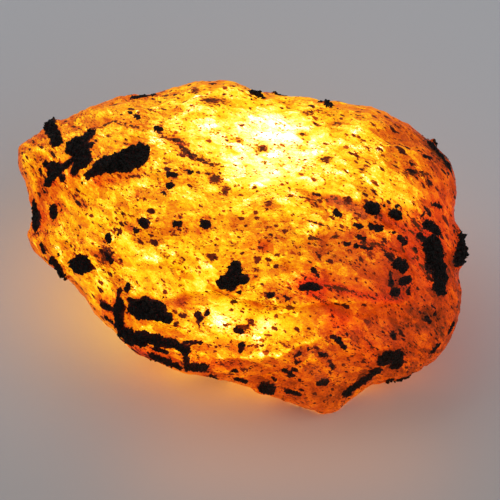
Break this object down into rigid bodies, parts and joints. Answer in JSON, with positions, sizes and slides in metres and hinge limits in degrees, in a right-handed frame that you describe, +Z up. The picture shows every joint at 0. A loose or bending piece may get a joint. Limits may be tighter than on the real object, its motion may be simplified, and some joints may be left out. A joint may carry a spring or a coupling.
{
  "type": "rough sapphire",
  "caption": "Weathered lump of rough yellow-orange sapphire with ledges, grooves and proud angular patches of black mica grown into its skin, lying on a flat worn side.",
  "frame": {"origin": "centre of the bounding box in X and Y, on the surface that the stone lies on", "axes": "+X along the stone's long way, +Z up from the worn flat side it lies on; the broad face looks up and towards -Y"},
  "size_m": [0.0498, 0.0342, 0.0257],
  "materials": {
    "corundum": "satin",
    "mica_crust": "satin"
  },
  "bodies": {
    "root": {"rough_sapphire": "corundum"}
  },
  "joints": []
}
